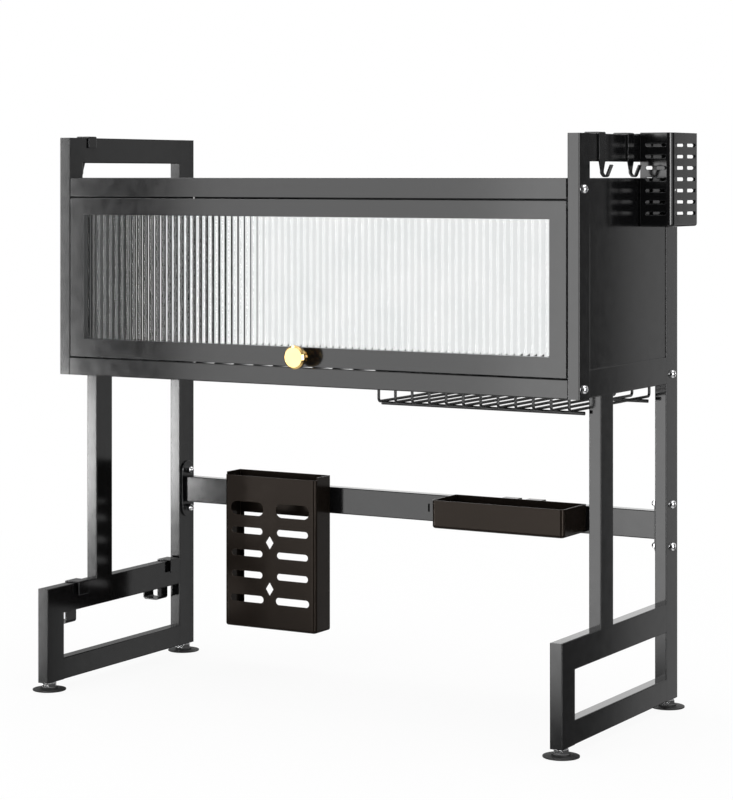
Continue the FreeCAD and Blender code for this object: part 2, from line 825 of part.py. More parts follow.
def feet():
    """Four levelling feet: a chrome stud with a hexagon to turn it by, on a thin rubber pad."""
    pad_height = size("pad_height")
    edge = size("pad_radius")
    boss = size("pad_boss_radius")
    pad_profile = profile("pad_profile", [
        (0, 0),
        (edge - size("pad_chamfer"), 0),
        (edge, size("pad_chamfer")),
        (edge, size("pad_edge")),
        (boss, size("pad_boss_foot")),
        (boss, pad_height),
        (0, pad_height),
    ])
    for word, side in SIDES:
        x = side * (half - tube_width / 2)
        for place, front, foot_y in FEET:
            ending = "_{}_{}".format(place, word)
            pad = turned("foot_pad" + ending + "_turned", pad_profile, x, foot_y, 0, Vector(1, 0, 0), 90)
            group("foot_pad" + ending, [pad])
            nut = doc.addObject("Part::Prism", "foot_nut" + ending)
            nut.Polygon = 6
            bind(nut, "Circumradius", size("stud_nut_radius"))
            bind(nut, "Height", size("stud_nut"))
            place_at(nut, x, foot_y, pad_height)
            length = size("stud_nut") + size("stud_length")
            stud = rod("foot_thread" + ending, size("stud_radius"), length, x, foot_y, pad_height)
            group("foot_stud" + ending, [fuse("foot_stud_body" + ending, [nut, stud])])


# Door
door_bottom = cross_top + size("door_gap_bottom")
door_top = lip_bottom - size("door_gap_top")
door_back = cabinet_front + size("door_depth")
opening_half = front_half - size("door_stile")
opening_low = door_bottom + size("door_bottom_rail")
opening_high = door_top - size("door_top_rail")
glass_front = cabinet_front + size("glass_recess") + size("gasket_thickness")
knob_z = door_bottom + size("knob_height")
block_outer = front_half - sheet_metal
block_top = door_top - sheet_metal


def door_frame():
    """Pressed frame: a front sheet with outer walls and shorter walls round the opening."""
    body = new_body("door_frame")
    front = new_sketch(body, "y", cabinet_front)
    draw_rectangle(front, -front_half, front_half, door_bottom, door_top, size("door_corner"))
    draw_rectangle(front, -opening_half, opening_half, opening_low, opening_high)
    extrude(body, "Pad", front, sheet_metal, "y")
    rim = new_sketch(body, "y", cabinet_front + sheet_metal)
    inset = sheet_metal
    draw_rectangle(rim, -front_half, front_half, door_bottom, door_top, size("door_corner"))
    draw_rectangle(rim, inset - front_half, front_half - inset, door_bottom + inset, door_top - inset)
    extrude(body, "Pad", rim, size("door_depth") - sheet_metal, "y")
    reveal = new_sketch(body, "y", cabinet_front + sheet_metal)
    reach = opening_half + inset
    draw_rectangle(reveal, -reach, reach, opening_low - inset, opening_high + inset)
    draw_rectangle(reveal, -opening_half, opening_half, opening_low, opening_high)
    extrude(body, "Pad", reveal, size("glass_recess") - sheet_metal, "y")
    hole = new_sketch(body, "y", cabinet_front)
    draw_circle(hole, 0, knob_z, size("knob_screw_radius") + size("bolt_clearance"))
    extrude(body, "Pocket", hole, sheet_metal, "y")
    bolt_holes(body, [(hinge_y, hinge_z)], -front_half, 2 * front_half, size("hinge_pin_radius"))


def door_parts():
    overlap = size("glass_overlap")
    gasket = new_body("glass_gasket")
    sketch = new_sketch(gasket, "y", cabinet_front + size("glass_recess"))
    wide = opening_half + overlap
    draw_rectangle(sketch, -wide, wide, opening_low - overlap, opening_high + overlap)
    draw_rectangle(sketch, -opening_half, opening_half, opening_low, opening_high)
    extrude(gasket, "Pad", sketch, size("gasket_thickness"), "y")
    glass = new_body("door_glass")
    sketch = new_sketch(glass, "y", glass_front)
    draw_rectangle(sketch, -wide, wide, opening_low - overlap, opening_high + overlap)
    extrude(glass, "Pad", sketch, size("glass_thickness"), "y")
    blocks = []
    pins = []
    for word, side in SIDES:
        low, high = span(side, block_outer - size("hinge_block_width"), block_outer)
        front = cabinet_front + sheet_metal
        back = front + size("hinge_block_depth")
        bottom = block_top - size("hinge_block_height")
        body = brick("block_" + word, low, high, front, back, bottom, block_top)
        near = block_outer - size("hinge_block_width")
        radius = size("hinge_pin_radius")
        hole = along_x("block_hole_" + word, radius, near, block_outer, side, hinge_y, hinge_z)
        blocks.append(cut("hinge_block_" + word, body, hole))
        far = inner - size("bush_flange") + size("bush_length")
        pins.append(along_x("hinge_pin_" + word, radius, near, far, side, hinge_y, hinge_z))
    group("hinge_blocks", blocks)
    group("hinge_pins", pins)


def knob():
    face = -size("knob_reach")
    back = face + size("knob_thickness")
    edge = size("knob_edge")
    screw = size("knob_screw_radius")
    hole = -(size("knob_screw_depth") + size("bolt_clearance"))
    shape = profile("knob_profile", [
        (0, face),
        (size("knob_radius") - edge, face),
        (size("knob_radius"), face + edge, edge / 2),
        (size("knob_radius"), back - edge, edge / 2),
        (size("knob_radius") - edge, back),
        (size("knob_neck_radius"), back, edge / 2),
        (size("knob_neck_radius"), -size("knob_base_thickness"), edge / 2),
        (size("knob_base_radius"), -size("knob_base_thickness")),
        (size("knob_base_radius"), 0),
        (screw, 0),
        (screw, hole),
        (0, hole),
    ])
    group("door_knob", [turned("knob", shape, 0, cabinet_front, knob_z)])
    head = size("knob_screw_head_radius")
    screw_shape = profile("knob_screw_profile", [
        (0, -size("knob_screw_depth")),
        (screw, -size("knob_screw_depth")),
        (screw, sheet_metal),
        (head, sheet_metal),
        (head, sheet_metal + size("knob_screw_head")),
        (0, sheet_metal + size("knob_screw_head")),
    ])
    group("knob_screw", [turned("knob_screw_turned", screw_shape, 0, cabinet_front, knob_z)])


def hinge_seats():
    """Flanged bushes in the posts, and the magnet stops behind the door's lower corners."""
    bushes = []
    magnets = []
    for word, side in SIDES:
        near = inner - size("bush_flange")
        far = near + size("bush_length")
        barrel = along_x("bush_barrel_" + word, size("bush_radius"), near, far, side, hinge_y, hinge_z)
        rim = size("bush_flange_radius")
        flange = along_x("bush_flange_" + word, rim, near, inner, side, hinge_y, hinge_z)
        radius = size("hinge_pin_radius") + size("hinge_clearance")
        hole = along_x("bush_hole_" + word, radius, near, far, side, hinge_y, hinge_z)
        bushes.append(cut("bush_" + word, fuse("bush_body_" + word, [barrel, flange]), hole))
        low, high = span(side, inner - size("magnet_width"), inner)
        front = door_back + size("magnet_gap")
        bottom = cross_top + size("magnet_rise")
        back = front + size("magnet_depth")
        upper = bottom + size("magnet_height")
        magnets.append(brick("magnet_" + word, low, high, front, back, bottom, upper))
    group("hinge_bushes", bushes)
    group("door_magnets", magnets)


# Racks in the cabinet
def wire_racks():
    wire = size("wire_radius")
    bar = size("rod_radius")
    gap = size("rack_gap")
    front_face = cabinet_front + cross_tube + gap
    rear_face = cross_rear - cross_tube / 2 - gap
    rod_level = cross_top + gap + bar

    # Plate rack: U wires hang from rods that rest on the two rails.
    body = new_body("plate_rack_wires")
    count = count_of("plate_wires")
    pitch = size("plate_pitch")
    last = size("plate_rack_end") - wire
    first = last - (count - 1) * pitch
    front, back = front_face + wire, rear_face - wire
    low = cabinet_bottom - size("plate_rack_drop")
    path = new_sketch(body, "x", first)
    bend = size("wire_bend")
    hoop = [(front, rod_level), (front, low, bend), (back, low, bend), (back, rod_level)]
    draw_path(path, hoop, closed=False)
    ring = new_sketch(body, "z", rod_level)
    draw_circle(ring, first, front, wire)
    pipe = body.newObject("PartDesign::AdditivePipe", "plate_wire")
    pipe.Profile = ring
    pipe.Spine = (path, ["Edge{}".format(number) for number in range(1, 6)])
    pattern = body.newObject("PartDesign::LinearPattern", "plate_wire_pattern")
    pattern.Originals = [pipe]
    axis = [item for item in body.Origin.OriginFeatures if item.Role == "X_Axis"][0]
    pattern.Direction = (axis, [""])
    bind(pattern, "Length", (count - 1) * pitch)
    bind(pattern, "Occurrences", count)
    body.Tip = pattern

    def cross_rod(name, x_low, x_high, y, z, radius=bar):
        return rod(name, radius, as_length(x_high) - x_low, x_low, y, z, Vector(0, 1, 0), 90)

    ends = (first - wire, last + wire)
    overhang = size("plate_rod_overhang")
    lower = low - wire - bar
    inset = size("rod_inset")
    group("plate_rack_rods", [
        cross_rod("plate_rod_front", ends[0], ends[1], front - wire - bar, rod_level),
        cross_rod("plate_rod_rear", ends[0], ends[1], back + wire + bar, rod_level),
        cross_rod("plate_rod_low_front", ends[0] - overhang, ends[1] + overhang, front + inset, lower),
        cross_rod("plate_rod_low_rear", ends[0] - overhang, ends[1] + overhang, back - inset, lower),
    ])

    # Bowl rack: a flat grid of straight wires that rests on the two rails.
    body = new_body("bowl_rack_wires")
    number = count_of("bowl_wires")
    step = size("bowl_pitch")
    start = -size("bowl_rack_end") + wire
    sketch = new_sketch(body, "y", front_face - wire - 2 * bar)
    draw_circle(sketch, start, cross_top + gap + wire, wire)
    run = rear_face + wire + 2 * bar - (front_face - wire - 2 * bar)
    pad = extrude(body, "Pad", sketch, run, "y")
    repeat = body.newObject("PartDesign::LinearPattern", "bowl_wire_pattern")
    repeat.Originals = [pad]
    axis = [item for item in body.Origin.OriginFeatures if item.Role == "X_Axis"][0]
    repeat.Direction = (axis, [""])
    bind(repeat, "Length", (number - 1) * step)
    bind(repeat, "Occurrences", number)
    body.Tip = repeat
    ends = (start - wire, start + (number - 1) * step + wire)
    under = cross_top + gap - bar
    group("bowl_rack_rods", [
        cross_rod("bowl_rod_front", ends[0], ends[1], front_face + bar, under),
        cross_rod("bowl_rod_middle", ends[0], ends[1], (front_face + rear_face) / 2, under),
        cross_rod("bowl_rod_rear", ends[0], ends[1], rear_face - bar, under),
    ])


# Accessories on the rear cross bar
bar_front = cross_rear - tube_width / 2
bar_back = cross_rear + tube_width / 2
bar_top = bar_height + tube_depth / 2


def hanger(body, left, wall_back):
    """A strap that runs from a back wall over the bar and down behind it."""
    gap = size("hang_gap")
    strap = size("strap")
    sketch = new_sketch(body, "x", left)
    outer = bar_back + gap + strap
    low = bar_top - size("hanger_drop")
    draw_path(sketch, [
        (wall_back - sheet_metal, bar_top + gap),
        (bar_back + gap, bar_top + gap),
        (bar_back + gap, low),
        (outer, low),
        (outer, bar_top + gap + strap, strap),
        (wall_back - sheet_metal, bar_top + gap + strap),
    ])
    extrude(body, "Pad", sketch, size("hanger_width"), "x")


def round_bottom(body, name, level, radius, flat_side):
    """Round a box's lowest edges, except the one along its flat back or inner side."""
    doc.recompute()
    box = body.Tip
    axis, place = flat_side
    found = []
    for number, edge in enumerate(box.Shape.Edges, start=1):
        points = [vertex.Point for vertex in edge.Vertexes]
        lowest = all(abs(point.z - as_length(level).value) < 0.01 for point in points)
        flat = all(abs(getattr(point, axis) - as_length(place).value) < 0.01 for point in points)
        if lowest and not flat:
            found.append("Edge{}".format(number))
    bend = body.newObject("PartDesign::Fillet", name)
    bend.Base = (box, found)
    bind(bend, "Radius", radius)


def open_box(body, left, right, front, back, low, high, corner):
    """A sheet-metal box, open at the top, rounded at its front upright edges and its bottom."""
    ground = new_sketch(body, "z", low)
    outline = [(left, front, corner), (right, front, corner), (right, back), (left, back)]
    draw_path(ground, outline)
    extrude(body, "Pad", ground, as_length(high) - low, "z")
    round_bottom(body, body.Name + "_outer_bend", low, size("box_bend"), ("y", back))
    inside = new_sketch(body, "z", as_length(low) + sheet_metal)
    inner_corner = corner - sheet_metal
    draw_path(inside, [
        (left + sheet_metal, front + sheet_metal, inner_corner),
        (right - sheet_metal, front + sheet_metal, inner_corner),
        (right - sheet_metal, back - sheet_metal),
        (left + sheet_metal, back - sheet_metal),
    ])
    extrude(body, "Pocket", inside, as_length(high) - low, "z")
    floor = as_length(low) + sheet_metal
    inner_bend = size("box_bend") - sheet_metal
    round_bottom(body, body.Name + "_inner_bend", floor, inner_bend, ("y", back - sheet_metal))


def knife_holder():
    body = new_body("knife_holder")
    left = size("holder_left")
    right = left + size("holder_width")
    back = bar_front - size("hang_gap")
    front = back - size("holder_depth")
    low = bar_top - size("holder_drop")
    front_top = low + size("holder_front_height")
    high = front_top + size("holder_back_rise")
    corner = size("holder_corner")
    open_box(body, left, right, front, back, low, high, corner)
    block(body, left, right, front, front + corner, front_top, high, "Pocket")
    rim = size("holder_rim")
    window_top = bar_height - tube_depth / 2 - rim
    block(body, left + rim, right - rim, back - sheet_metal, back, low + rim, window_top, "Pocket")
    slots = new_sketch(body, "y", front)
    left_column = left + size("holder_slot_inset")
    right_column = right - size("holder_slot_inset")
    rows = (
        ("holder_row_1", size("holder_big_slot"), size("holder_long_slot_length")),
        ("holder_row_2", size("holder_slot"), size("holder_slot_length")),
        ("holder_row_3", size("holder_slot"), size("holder_slot_length")),
        ("holder_row_4", size("holder_slot"), size("holder_slot_length")),
        ("holder_row_5", size("holder_low_slot"), size("holder_long_slot_length")),
    )
    for row, height, length in rows:
        level = low + size(row)
        for column in (left_column, right_column):
            draw_slot(slots, column - length / 2, column + length / 2, level, height)
    middle = (left + right) / 2
    for diamond in ("holder_upper_diamond", "holder_lower_diamond"):
        level = low + size(diamond)
        across = size("holder_diamond_width") / 2
        up = size("holder_diamond_height") / 2
        draw_path(slots, [
            (middle - across, level),
            (middle, level - up),
            (middle + across, level),
            (middle, level + up),
        ])
    extrude(body, "Pocket", slots, sheet_metal, "y")
    inset = size("holder_hanger_inset")
    for start in (left + inset, right - inset - size("hanger_width")):
        hanger(body, start, back)


def sponge_tray():
    body = new_body("sponge_tray")
    left = size("tray_left")
    right = left + size("tray_width")
    back = bar_front - size("hang_gap")
    front = back - size("tray_depth")
    low = bar_top - size("tray_drop")
    open_box(body, left, right, front, back, low, low + size("tray_height"), size("tray_corner"))
    inset = size("tray_hanger_inset")
    hang = size("hanger_width")
    for start in (left + inset, right - inset - hang):
        hanger(body, start, back)
    drains = new_sketch(body, "z", low)
    middle = (front + back) / 2
    columns = count_of("tray_drain_columns")
    pitch = size("tray_width") / (columns + 1)
    half_drain = size("tray_drain_length") / 2
    for column in range(int(columns.value)):
        centre = left + (column + 1) * pitch
        for side in (-1, 1):
            level = middle + side * size("tray_drain_spacing") / 2
            draw_slot(drains, centre - half_drain, centre + half_drain, level, size("tray_drain_width"))
    extrude(body, "Pocket", drains, sheet_metal, "z")


def utensil_basket():
    """A tall slotted basket that hooks over the right guard rail."""
    body = new_body("utensil_basket")
    near = half + size("hang_gap")
    far = basket_outer
    front = size("basket_front")
    back = front + size("basket_length")
    low = top - size("basket_drop")
    high = low + size("basket_height")
    corner = size("basket_corner")
    ground = new_sketch(body, "z", low)
    draw_path(ground, [(near, front), (far, front, corner), (far, back, corner), (near, back)])
    extrude(body, "Pad", ground, high - low, "z")
    round_bottom(body, "basket_outer_bend", low, size("box_bend"), ("x", near))
    inside = new_sketch(body, "z", low + sheet_metal)
    inner_corner = corner - sheet_metal
    draw_path(inside, [
        (near + sheet_metal, front + sheet_metal),
        (far - sheet_metal, front + sheet_metal, inner_corner),
        (far - sheet_metal, back - sheet_metal, inner_corner),
        (near + sheet_metal, back - sheet_metal),
    ])
    extrude(body, "Pocket", inside, high - low, "z")
    inner_bend = size("box_bend") - sheet_metal
    round_bottom(body, "basket_inner_bend", low + sheet_metal, inner_bend, ("x", near + sheet_metal))
    rows = range(int(count_of("basket_slot_rows").value))
    height = size("basket_slot_height")
    length = size("basket_slot_length")
    levels = [high - size("basket_top_slot") - row * size("basket_slot_pitch") for row in rows]
    side_slots = new_sketch(body, "x", near)
    centre = (front + back) / 2
    reach = size("basket_slot_spacing") / 2
    for level in levels:
        for column in (centre - reach, centre + reach):
            draw_slot(side_slots, column - length / 2, column + length / 2, level, height)
    extrude(body, "Pocket", side_slots, far - near, "x")
    end_slots = new_sketch(body, "y", front)
    middle = (near + far) / 2
    for level in levels:
        draw_slot(end_slots, middle - length / 2, middle + length / 2, level, height)
    extrude(body, "Pocket", end_slots, size("basket_length"), "y")
    strip = new_sketch(body, "y", front)
    gap = size("hang_gap")
    lip = inner - gap
    draw_path(strip, [
        (near + sheet_metal, top + gap),
        (lip, top + gap),
        (lip, top - size("basket_lip")),
        (lip - sheet_metal, top - size("basket_lip")),
        (lip - sheet_metal, top + gap + sheet_metal),
        (near + sheet_metal, top + gap + sheet_metal),
    ])
    extrude(body, "Pad", strip, size("basket_length"), "y")


# Hooks
def utensil_hook(label, side, place):
    """A flat strap over the guard rail whose outer leg narrows into an upturned tongue."""
    body = new_body(label)
    gap = size("hang_gap")
    strap = size("strap")
    width = size("hook_width")
    lip = inner - gap
    outside = half + gap
    leg_bottom = top - size("hook_leg")
    sketch = new_sketch(body, "y", place - width / 2)
    draw_path(sketch, [
        (side * (lip - strap), top - size("hook_lip")),
        (side * lip, top - size("hook_lip")),
        (side * lip, top + gap),
        (side * outside, top + gap),
        (side * outside, leg_bottom),
        (side * (outside + strap), leg_bottom),
        (side * (outside + strap), top + gap + strap, strap),
        (side * (lip - strap), top + gap + strap, strap),
    ])
    extrude(body, "Pad", sketch, width, "y")
    near, far = span(side, outside, outside + strap)
    reach = size("tongue_width") / 2
    shoulders = new_sketch(body, "x", near)
    for edge in (-1, 1):
        draw_path(shoulders, [
            (place + edge * width / 2, leg_bottom + size("hook_taper")),
            (place + edge * reach, leg_bottom),
            (place + edge * width / 2, leg_bottom),
        ])
    extrude(body, "Pocket", shoulders, strap, "x")
    path = new_sketch(body, "y", place)
    middle = outside + strap / 2
    low = leg_bottom - size("tongue_drop")
    bend = size("tongue_bend")
    draw_path(path, [
        (side * middle, leg_bottom),
        (side * middle, leg_bottom - size("tongue_shoulder"), bend),
        (side * (outside + size("tongue_reach")), low, bend),
        (side * (outside + size("tongue_tip_reach")), leg_bottom + size("tongue_rise")),
    ], closed=False)
    section = new_sketch(body, "z", leg_bottom)
    draw_rectangle(section, near, far, place - reach, place + reach)
    pipe = body.newObject("PartDesign::AdditivePipe", label + "_tongue")
    pipe.Profile = section
    pipe.Spine = (path, ["Edge{}".format(number) for number in range(1, 6)])


def board_hook(label, place):
    """A flat strap over the left base rail that turns out into a ledge with a raised lip."""
    body = new_body(label)
    gap = size("hang_gap")
    strap = size("strap")
    width = size("board_hook_width")
    bend = size("board_hook_bend")
    round_bend = bend + strap
    lip = inner - size("board_hook_standoff")
    outside = half + gap
    ledge = base_top - size("board_hook_drop")
    far = outside + strap + size("board_hook_reach")
    corners = [
        (lip - strap, base_top - size("board_hook_lip")),
        (lip, base_top - size("board_hook_lip")),
        (lip, base_top + gap),
        (outside, base_top + gap),
        (outside, ledge, round_bend),
        (far, ledge, round_bend),
        (far, ledge + size("board_hook_rise")),
        (far - strap, ledge + size("board_hook_rise")),
        (far - strap, ledge + strap, bend),
        (outside + strap, ledge + strap, bend),
        (outside + strap, base_top + gap + strap, strap),
        (lip - strap, base_top + gap + strap, strap),
    ]
    sketch = new_sketch(body, "y", place - width / 2)
    draw_path(sketch, [(-corner[0],) + tuple(corner[1:]) for corner in corners])
    extrude(body, "Pad", sketch, width, "y")


for word, side in SIDES:
    side_frame(word, side)
shelf_panel()
cross_members()
bolts_and_nuts()
tube_ends()
feet()
door_frame()
door_parts()
knob()
hinge_seats()
wire_racks()
knife_holder()
sponge_tray()
utensil_basket()
utensil_hook("utensil_hook_left", -1, size("left_hook_place"))
utensil_hook("utensil_hook_front", 1, size("front_hook_place"))
utensil_hook("utensil_hook_rear", 1, size("rear_hook_place"))
board_hook("board_hook_front", size("front_board_hook_place"))
board_hook("board_hook_rear", size("rear_board_hook_place"))
doc.recompute()


def check_document():
    """Stop on a failed feature, a cut that removed nothing or a broken shape."""
    for item in doc.Objects:
        if "Invalid" in item.State or "Error" in item.State:
            raise RuntimeError("{} failed to build: {}".format(item.Name, item.State))
        if item.TypeId == "PartDesign::Pocket":
            before = item.getPropertyByName("BaseFeature")
            if before is not None and item.Shape.Volume >= before.Shape.Volume:
                raise RuntimeError("{} removed nothing".format(item.Name))
    for item in nodes:
        if item.Shape.isNull() or not item.Shape.isValid() or not item.Shape.Solids:
            raise RuntimeError("{} has no sound shape".format(item.Label))


check_document()
os.makedirs("parts", exist_ok=True)
for item in nodes:
    item.Shape.exportStep("parts/{}.step".format(item.Label))
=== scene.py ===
import json
import math

import bmesh
import bpy
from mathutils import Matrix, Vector


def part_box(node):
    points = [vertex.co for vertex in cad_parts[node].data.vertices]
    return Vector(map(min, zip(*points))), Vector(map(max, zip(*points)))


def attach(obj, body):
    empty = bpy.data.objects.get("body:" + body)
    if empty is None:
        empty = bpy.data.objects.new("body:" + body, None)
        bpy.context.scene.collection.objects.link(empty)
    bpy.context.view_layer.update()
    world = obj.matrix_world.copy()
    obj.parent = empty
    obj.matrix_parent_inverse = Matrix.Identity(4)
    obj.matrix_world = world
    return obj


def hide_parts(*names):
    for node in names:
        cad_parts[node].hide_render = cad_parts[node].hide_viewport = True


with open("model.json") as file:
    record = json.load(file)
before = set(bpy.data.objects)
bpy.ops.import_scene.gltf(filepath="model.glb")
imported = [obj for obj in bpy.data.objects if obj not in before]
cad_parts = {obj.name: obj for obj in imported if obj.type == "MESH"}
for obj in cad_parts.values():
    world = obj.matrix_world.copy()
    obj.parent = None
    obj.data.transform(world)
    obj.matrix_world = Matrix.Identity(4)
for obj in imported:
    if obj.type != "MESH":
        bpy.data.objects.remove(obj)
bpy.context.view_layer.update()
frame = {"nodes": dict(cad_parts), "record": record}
nodes = frame["nodes"]


# Shader building
# Most of Blender's noise lies between these two values.
NOISE_LOW, NOISE_HIGH = 0.3, 0.7
# How well a surface's normal agrees with its rounded normal, on flats and on edges.
FLAT_MATCH, EDGE_MATCH = 0.995, 0.8
BEVEL_SAMPLES = 6


def new_material(name):
    """A new material, its node tree and its main shader."""
    material = bpy.data.materials.new(name)
    material.use_nodes = True
    return material, material.node_tree, material.node_tree.nodes["Principled BSDF"]


def add_node(tree, kind, links=None, **values):
    """Make a shader node, set its plain values, and link or set its inputs."""
    node = tree.nodes.new("ShaderNode" + kind)
    for key, value in values.items():
        setattr(node, key, value)
    for socket, source in (links or {}).items():
        if isinstance(source, bpy.types.NodeSocket):
            tree.links.new(source, node.inputs[socket])
        else:
            node.inputs[socket].default_value = source
    return node


def map_range(tree, value, start, end, low=0.0, high=1.0, **values):
    """The value, spread from start and end over low to high."""
    links = {"Value": value, "From Min": start, "From Max": end, "To Min": low, "To Max": high}
    return add_node(tree, "MapRange", links, **values).outputs["Result"]


def maths(tree, operation, first, second):
    """Two values joined by one operation."""
    return add_node(tree, "Math", {0: first, 1: second}, operation=operation).outputs[0]


def object_noise(tree, scale, detail, stretch=(1, 1, 1)):
    """Noise that sticks to the object, with features about 1/scale metres across."""
    place = add_node(tree, "TexCoord").outputs["Object"]
    mapping = add_node(tree, "Mapping", {"Vector": place, "Scale": stretch})
    links = {"Vector": mapping.outputs[0], "Scale": scale, "Detail": detail}
    return add_node(tree, "TexNoise", links).outputs["Fac"]


def noise_range(tree, noise, low, high):
    """Noise spread over low to high."""
    return map_range(tree, noise, NOISE_LOW, NOISE_HIGH, low, high)


def two_tone(tree, noise, first, second):
    """A colour that drifts between two with the noise."""
    node = add_node(tree, "ValToRGB", {"Fac": noise})
    stops = ((NOISE_LOW, first), (NOISE_HIGH, second))
    for element, (place, colour) in zip(node.color_ramp.elements, stops):
        element.position = place
        element.color = (*colour, 1)
    return node.outputs["Color"]


def edge_mask(tree, radius):
    """The rounded normal, and a mask that is 0 on flats and 1 where the surface turns."""
    soft = add_node(tree, "Bevel", {"Radius": radius}, samples=BEVEL_SAMPLES).outputs[0]
    flat = add_node(tree, "NewGeometry").outputs["Normal"]
    match = add_node(tree, "VectorMath", {0: soft, 1: flat}, operation="DOT_PRODUCT")
    return soft, map_range(tree, match.outputs["Value"], FLAT_MATCH, EDGE_MATCH)


def with_edges(tree, edges, body, colour):
    """The body's colour, with another where the edge mask is 1."""
    links = {0: edges, 6: body, 7: (*colour, 1)}
    return add_node(tree, "Mix", links, data_type="RGBA").outputs[2]


def bumped(tree, height, distance, strength, normal=None):
    """A normal with the height's relief on it."""
    links = {"Height": height, "Distance": distance, "Strength": strength}
    if normal is not None:
        links["Normal"] = normal
    return add_node(tree, "Bump", links).outputs["Normal"]


def scaled(colour, share):
    """A colour made lighter or darker."""
    return tuple(min(1.0, part * share) for part in colour)


def connect(tree, shader, colour, rough, normal):
    """Give the main shader its colour, roughness and normal."""
    for socket, source in (("Base Color", colour), ("Roughness", rough), ("Normal", normal)):
        tree.links.new(source, shader.inputs[socket])


def powder_coat(name, colour, rough, edge=None, shine=0.5, tint=(1, 1, 1)):
    """Sprayed and baked coating with fine orange peel and slight cloudiness.

    edge is how much paler the edges of sheet are: a painted highlight along them. Tubes and wires
    go without, because their edges are round in the mesh. shine and tint set the strength and the
    colour of the gloss.
    """
    material, tree, shader = new_material(name)
    cloud = object_noise(tree, scale=9.0, detail=3.0)
    body = two_tone(tree, cloud, scaled(colour, 0.9), scaled(colour, 1.1))
    normal = None
    if edge is not None:
        normal, edges = edge_mask(tree, radius=0.0011)
        # Painted highlight: the edges of sheet get a paler colour in the coat itself.
        body = with_edges(tree, edges, body, scaled(colour, edge))
    patches = object_noise(tree, scale=60.0, detail=2.0)
    peel = object_noise(tree, scale=700.0, detail=1.0)
    roughness = noise_range(tree, patches, rough - 0.015, rough + 0.015)
    normal = bumped(tree, peel, distance=0.00003, strength=0.08, normal=normal)
    connect(tree, shader, body, roughness, normal)
    shader.inputs["Specular IOR Level"].default_value = shine
    shader.inputs["Specular Tint"].default_value = (*tint, 1)
    return material


def plated_metal(name, colour, rough, grain=600.0, stretch=(1, 1, 1)):
    """Bare or plated metal with faint polishing marks."""
    material, tree, shader = new_material(name)
    soft, edges = edge_mask(tree, radius=0.0005)
    cloud = object_noise(tree, scale=45.0, detail=2.0)
    body = two_tone(tree, cloud, scaled(colour, 0.9), colour)
    body = with_edges(tree, edges, body, scaled(colour, 1.12))
    marks = object_noise(tree, scale=grain, detail=3.0, stretch=stretch)
    roughness = noise_range(tree, marks, rough * 0.8, rough * 1.3)
    normal = bumped(tree, marks, distance=0.00002, strength=0.12, normal=soft)
    connect(tree, shader, body, roughness, normal)
    shader.inputs["Metallic"].default_value = 1.0
    return material


def moulded(name, colour, rough, grain, strength):
    """Moulded plastic or rubber with a fine matt texture and paler edges."""
    material, tree, shader = new_material(name)
    soft, edges = edge_mask(tree, radius=0.0006)
    cloud = object_noise(tree, scale=30.0, detail=2.0)
    body = two_tone(tree, cloud, scaled(colour, 0.85), scaled(colour, 1.15))
    body = with_edges(tree, edges, body, scaled(colour, 1.8))
    texture = object_noise(tree, scale=grain, detail=3.0)
    roughness = noise_range(tree, texture, rough - 0.06, rough + 0.06)
    normal = bumped(tree, texture, distance=0.00008, strength=strength, normal=soft)
    connect(tree, shader, body, roughness, normal)
    return material


def clear_glass(name):
    """Grey-tinted glass with faint smears; the flutes are in the panel's own shape."""
    material, tree, shader = new_material(name)
    smear = object_noise(tree, scale=14.0, detail=3.0)
    tint = two_tone(tree, smear, DARK_GLASS, PALE_GLASS)
    tree.links.new(tint, shader.inputs["Base Color"])
    tree.links.new(noise_range(tree, smear, 0.0, 0.02), shader.inputs["Roughness"])
    shader.inputs["Transmission Weight"].default_value = 1.0
    shader.inputs["IOR"].default_value = 1.45
    shader.inputs["Specular IOR Level"].default_value = 0.25
    return material


# Materials, one for each slot of the record
BLACK = (0.005, 0.0051, 0.0054)
BRONZE = (0.012, 0.0092, 0.0074)
WIRE_BLACK = (0.012, 0.012, 0.0125)
RUBBER_BLACK = (0.009, 0.009, 0.009)
PLASTIC_BLACK = (0.026, 0.026, 0.027)
MAGNET_GREY = (0.04, 0.04, 0.04)
CHROME = (0.93, 0.93, 0.94)
ZINC = (0.6, 0.6, 0.62)
GOLD = (0.83, 0.57, 0.23)
DARK_GLASS, PALE_GLASS = (0.78, 0.8, 0.8), (0.83, 0.84, 0.84)
WARM_GLOSS = (1.0, 0.84, 0.72)
BLACK_ROUGH = 0.125

MATERIALS = {
    # edge on the two coats sets a painted highlight along the edges of their sheet.
    "black_coat": powder_coat("black_coat", BLACK, BLACK_ROUGH, edge=12.0),
    "bronze_coat": powder_coat("bronze_coat", BRONZE, 0.2, edge=5.0, shine=0.14, tint=WARM_GLOSS),
    "black_wire": powder_coat("black_wire", WIRE_BLACK, 0.3),
    "chrome": plated_metal("chrome", CHROME, 0.07),
    "zinc_steel": plated_metal("zinc_steel", ZINC, 0.3, grain=300.0, stretch=(1, 1, 6)),
    "gold": plated_metal("gold", GOLD, 0.12),
    "reeded_glass": clear_glass("reeded_glass"),
    "black_rubber": moulded("black_rubber", RUBBER_BLACK, 0.62, grain=500.0, strength=0.4),
    "black_plastic": moulded("black_plastic", PLASTIC_BLACK, 0.5, grain=700.0, strength=0.3),
    "magnet": moulded("magnet", MAGNET_GREY, 0.6, grain=700.0, strength=0.3),
}
TUBE_COAT = powder_coat("black_coat_tube", BLACK, BLACK_ROUGH)
# A coated node with one of these words in its name is a tube.
TUBES = ("leg", "foot_tube", "rail", "upright", "post", "cross_bar")


def dress_nodes():
    """Give every CAD node the material of its slot, and the coated tubes their own."""
    for part in frame["record"]["subparts"]:
        name, slot = part["node"], part["material_slot"]
        mesh = nodes[name].data
        mesh.materials.clear()
        is_tube = slot == "black_coat" and any(word in name for word in TUBES)
        mesh.materials.append(TUBE_COAT if is_tube else MATERIALS[slot])


